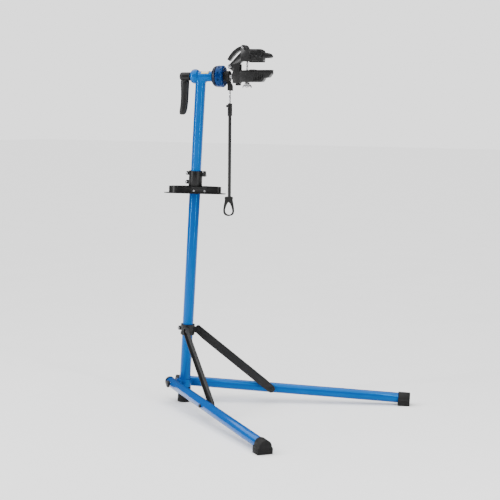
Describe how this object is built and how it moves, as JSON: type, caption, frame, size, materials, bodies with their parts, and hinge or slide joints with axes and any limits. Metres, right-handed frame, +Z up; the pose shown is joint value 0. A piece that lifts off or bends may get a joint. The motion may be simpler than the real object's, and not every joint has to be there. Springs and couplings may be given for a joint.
{
  "type": "bike repair stand",
  "caption": "Folding workshop stand: sliding mast on splayed legs, swivelling tool tray, and a turning head with a padded clamp and a hanging handlebar holder.",
  "frame": {"origin": "on the floor under the mast foot, where the mast's centre line meets the floor", "axes": "+Z up, +X horizontal midway between the legs and the way the mast leans, +Y to the left seen along +X"},
  "size_m": [0.8569, 1.0656, 1.448],
  "materials": {
    "blue_paint": "gloss sky-blue paint",
    "black_paint": "satin black powder coat",
    "black_plastic": "moulded black",
    "rubber": "matt",
    "steel": "bright plated",
    "grey_cast": "satin dark grey casting",
    "label": "pale blank sticker"
  },
  "bodies": {
    "base": {"lower_tube": "blue_paint", "mast_foot": "rubber", "base_bracket": "blue_paint", "leg_pivot_bolt_left": "black_paint", "leg_pivot_bolt_right": "black_paint", "height_collar": "black_plastic", "height_collar_bolt_1": "steel", "height_collar_bolt_2": "steel"},
    "height_knob": {"height_knob": "black_plastic"},
    "tray": {"tray": "black_plastic", "tray_clamp": "black_plastic", "tray_plate": "black_paint", "tray_screw_1": "steel", "tray_screw_2": "steel"},
    "leg_collar": {"leg_collar": "black_paint", "leg_collar_bolt": "steel", "strut_top_bolt_left": "black_paint", "strut_top_bolt_right": "black_paint"},
    "leg_left": {"leg_tube_left": "blue_paint", "leg_cap_left": "black_plastic", "foot_left": "rubber", "strut_bolt_left": "black_paint"},
    "leg_right": {"leg_tube_right": "blue_paint", "leg_cap_right": "black_plastic", "foot_right": "rubber", "strut_bolt_right": "black_paint"},
    "strut_left": {"strut_left": "black_paint", "strut_pin_left": "black_paint"},
    "strut_right": {"strut_right": "black_paint", "strut_pin_right": "black_paint"},
    "mast_slider": {"glide_bush": "black_plastic"},
    "head": {"upper_tube": "blue_paint", "head_tube": "blue_paint", "rear_cup": "blue_paint", "clutch_ring": "black_plastic", "head_label": "label"},
    "lock_handle": {"handle_hub": "black_plastic", "handle_grip": "black_plastic"},
    "clamp": {"drum": "blue_paint", "neck": "black_plastic", "spindle": "steel", "clamp_body": "grey_cast", "clamp_block": "black_plastic", "lower_jaw": "grey_cast", "lower_pad": "rubber", "jaw_pivot_bolt": "steel"},
    "upper_jaw": {"upper_jaw": "grey_cast", "upper_pad": "rubber", "jaw_knob": "black_plastic", "lever_pin": "steel"},
    "cam_lever": {"cam_lever": "grey_cast"},
    "screw_saddle": {"screw_saddle": "steel"},
    "wing_screw": {"wing_screw": "steel"},
    "holder": {"holder_strap": "rubber", "holder_rod": "steel"},
    "holder_tube": {"holder_tube": "black_paint", "holder_collar": "black_plastic", "holder_loop": "rubber"},
    "holder_knob": {"holder_knob": "black_plastic"}
  },
  "joints": [
    {"name": "leg_fold_left", "type": "hinge", "parent": "base", "child": "leg_left", "pos_m": [-0.02048, -0.04317, 0.07663], "axis": [-0.5035, -0.8634, 0.0315], "range_deg": [0, 75]},
    {"name": "leg_fold_right", "type": "hinge", "parent": "base", "child": "leg_right", "pos_m": [-0.02048, 0.04317, 0.07663], "axis": [0.5035, -0.8634, -0.0315], "range_deg": [0, 75]},
    {"name": "leg_collar_slide", "type": "slide", "parent": "base", "child": "leg_collar", "axis": [0.0624, 0, 0.998], "range_m": [0, 0.5043]},
    {"name": "strut_hinge_left", "type": "hinge", "parent": "leg_collar", "child": "strut_left", "pos_m": [0.03664, -0.04361, 0.29829], "axis": [0.5035, 0.8634, -0.0315], "range_deg": [0, 46.76]},
    {"name": "strut_hinge_right", "type": "hinge", "parent": "leg_collar", "child": "strut_right", "pos_m": [0.03664, 0.04361, 0.29829], "axis": [-0.5035, 0.8634, 0.0315], "range_deg": [0, 46.76]},
    {"name": "tray_swivel", "type": "hinge", "parent": "base", "child": "tray", "pos_m": [0.05361, 0, 0.85682], "axis": [0.0624, 0, 0.998], "continuous": true},
    {"name": "height_knob_turn", "type": "hinge", "parent": "base", "child": "height_knob", "pos_m": [0.05863, 0, 0.93717], "axis": [0.9254, 0.3746, -0.0579], "continuous": true},
    {"name": "mast_height", "type": "slide", "parent": "base", "child": "mast_slider", "axis": [0.0624, 0, 0.998], "range_m": [-0.27, 0.11]},
    {"name": "mast_swivel", "type": "hinge", "parent": "mast_slider", "child": "head", "pos_m": [0.05651, 0, 0.90323], "axis": [0.0624, 0, 0.998], "continuous": true},
    {"name": "lock_handle_turn", "type": "hinge", "parent": "head", "child": "lock_handle", "pos_m": [0.01632, -0.02163, 1.325], "axis": [0.9511, 0.309, 0], "range_deg": [-90, 90]},
    {"name": "clamp_rotation", "type": "hinge", "parent": "head", "child": "clamp", "pos_m": [0.178, 0.0309, 1.325], "axis": [0.9511, 0.309, 0], "range_deg": [-120, 120]},
    {"name": "jaw_hinge", "type": "hinge", "parent": "clamp", "child": "upper_jaw", "pos_m": [0.20463, 0.03955, 1.3633], "axis": [0.309, -0.9511, 0], "range_deg": [-10, 10]},
    {"name": "cam_lever_hinge", "type": "hinge", "parent": "upper_jaw", "child": "cam_lever", "pos_m": [0.25409, 0.05562, 1.438], "axis": [-0.309, 0.9511, 0], "range_deg": [0, 100]},
    {"name": "screw_tilt", "type": "hinge", "parent": "clamp", "child": "screw_saddle", "pos_m": [0.26693, 0.0598, 1.2944], "axis": [0.309, -0.9511, 0], "range_deg": [-6, 6]},
    {"name": "screw_spin", "type": "hinge", "parent": "screw_saddle", "child": "wing_screw", "pos_m": [0.26693, 0.0598, 1.275], "axis": [0, 0, 1], "continuous": true},
    {"name": "holder_swing", "type": "hinge", "parent": "head", "child": "holder", "pos_m": [0.1994, 0.03785, 1.325], "axis": [0.9511, 0.309, 0], "range_deg": [-60, 60]},
    {"name": "holder_slide", "type": "slide", "parent": "holder", "child": "holder_tube", "axis": [0, 0, -1], "range_m": [-0.045, 0.15]},
    {"name": "holder_knob_turn", "type": "hinge", "parent": "holder_tube", "child": "holder_knob", "pos_m": [0.1994, 0.03785, 1.2085], "axis": [0.9511, 0.309, 0], "continuous": true}
  ],
  "couplings": [
    {"joint": "leg_fold_right", "follows": "leg_fold_left", "ratio": 1},
    {"joint": "leg_collar_slide", "follows": "leg_fold_left", "m_per_rad": 0.3845},
    {"joint": "strut_hinge_left", "follows": "leg_fold_left", "ratio": 0.6222},
    {"joint": "strut_hinge_right", "follows": "leg_fold_left", "ratio": 0.6222},
    {"joint": "screw_tilt", "follows": "jaw_hinge", "ratio": 0.554}
  ]
}
